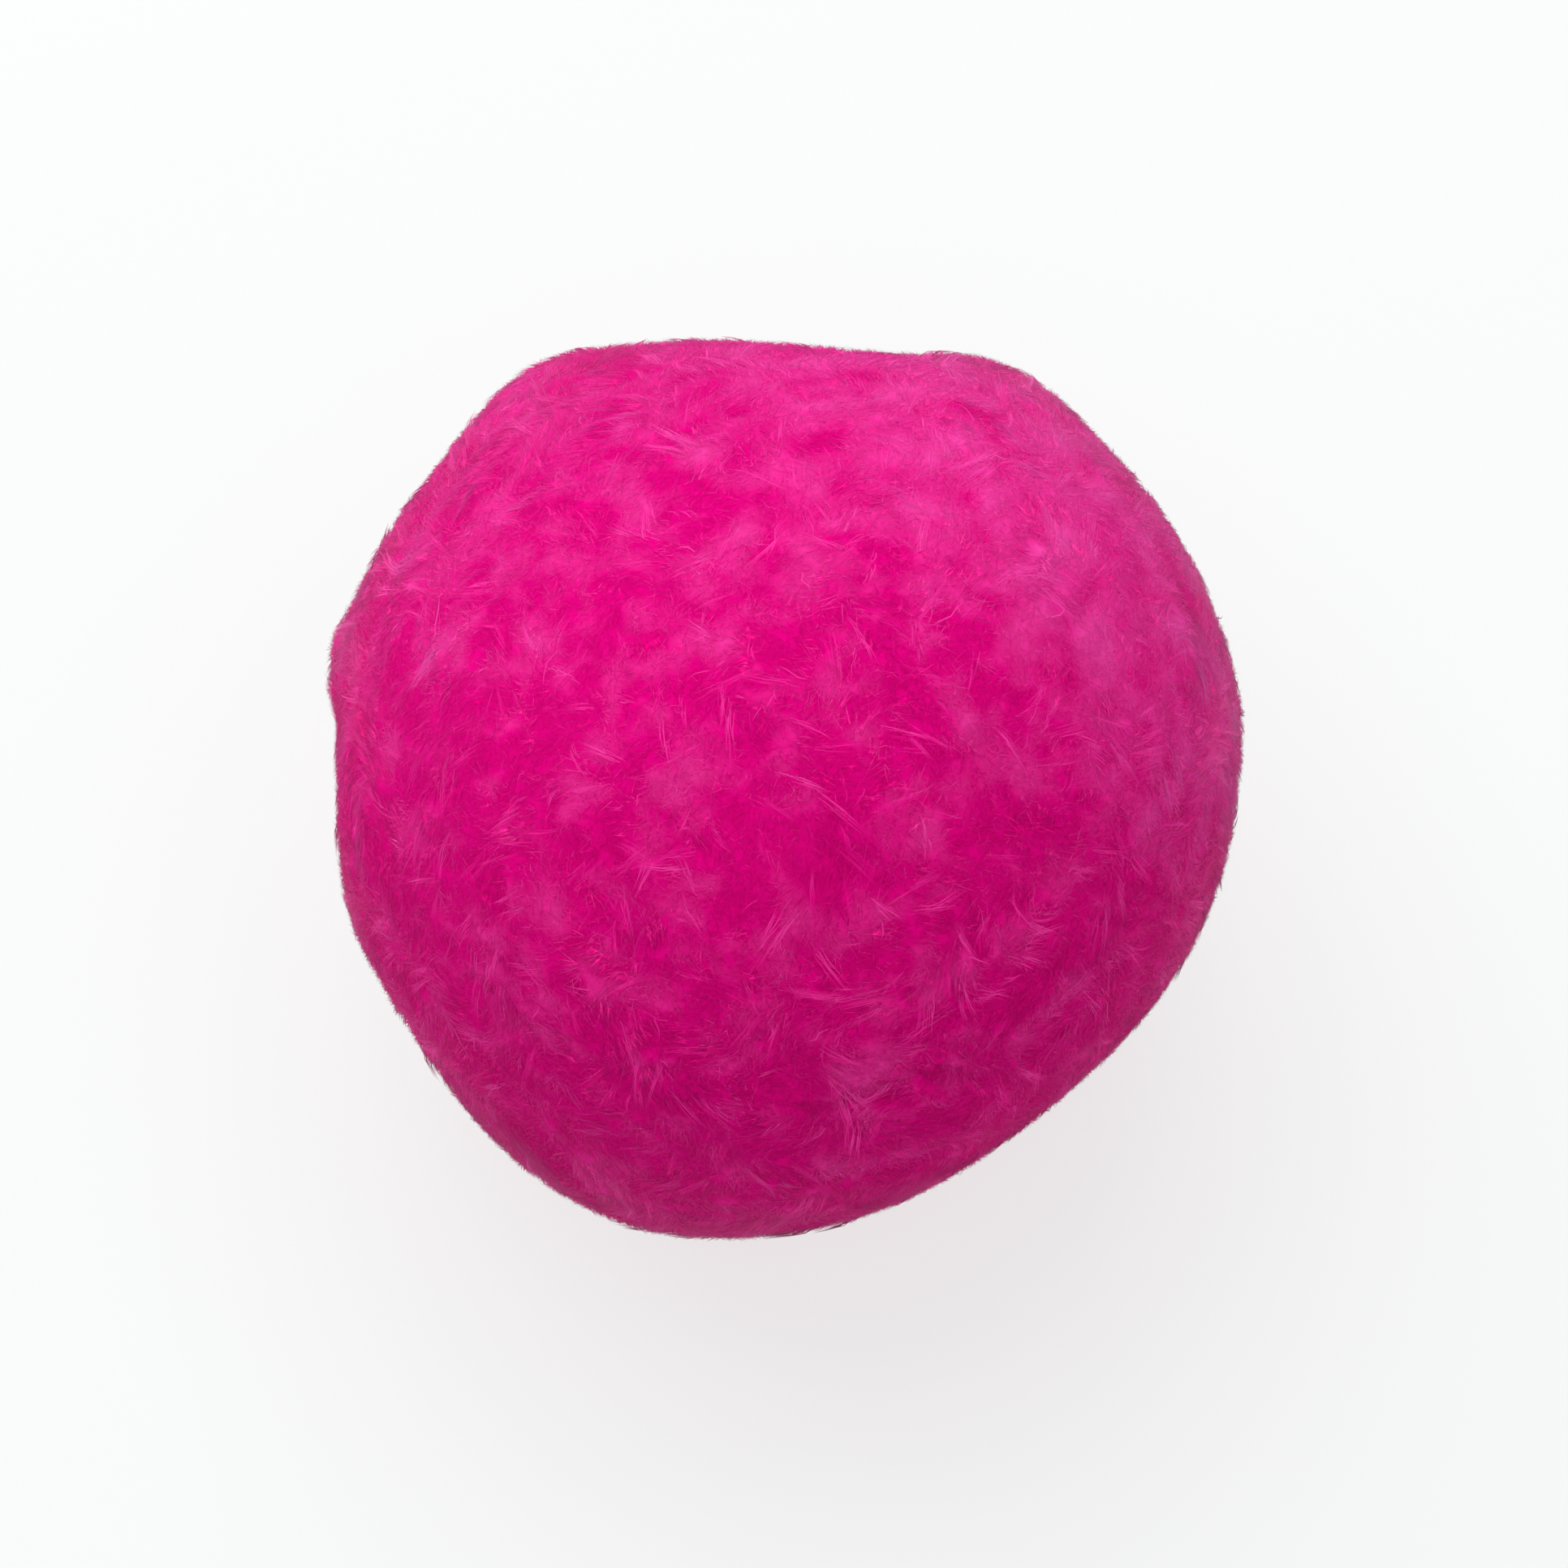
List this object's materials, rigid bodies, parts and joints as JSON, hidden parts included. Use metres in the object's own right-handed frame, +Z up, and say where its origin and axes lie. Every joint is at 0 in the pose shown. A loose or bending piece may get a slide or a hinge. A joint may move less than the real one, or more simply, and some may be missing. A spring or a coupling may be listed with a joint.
{
  "type": "craft pompom",
  "caption": "Small round pompom of short, dense, bright pink fibres, trimmed into a slightly uneven ball that rests on a small flat spot.",
  "frame": {"origin": "on the surface that the ball rests on, under the middle of its bounding box", "axes": "+Z up from the flat spot, +X along the ball's widest way, +Y completes the frame"},
  "size_m": [0.0258, 0.0256, 0.0251],
  "materials": {
    "pile": "matt short pile of fine hot pink synthetic fibre"
  },
  "bodies": {
    "root": {"fibre_ball": "pile"}
  },
  "joints": []
}
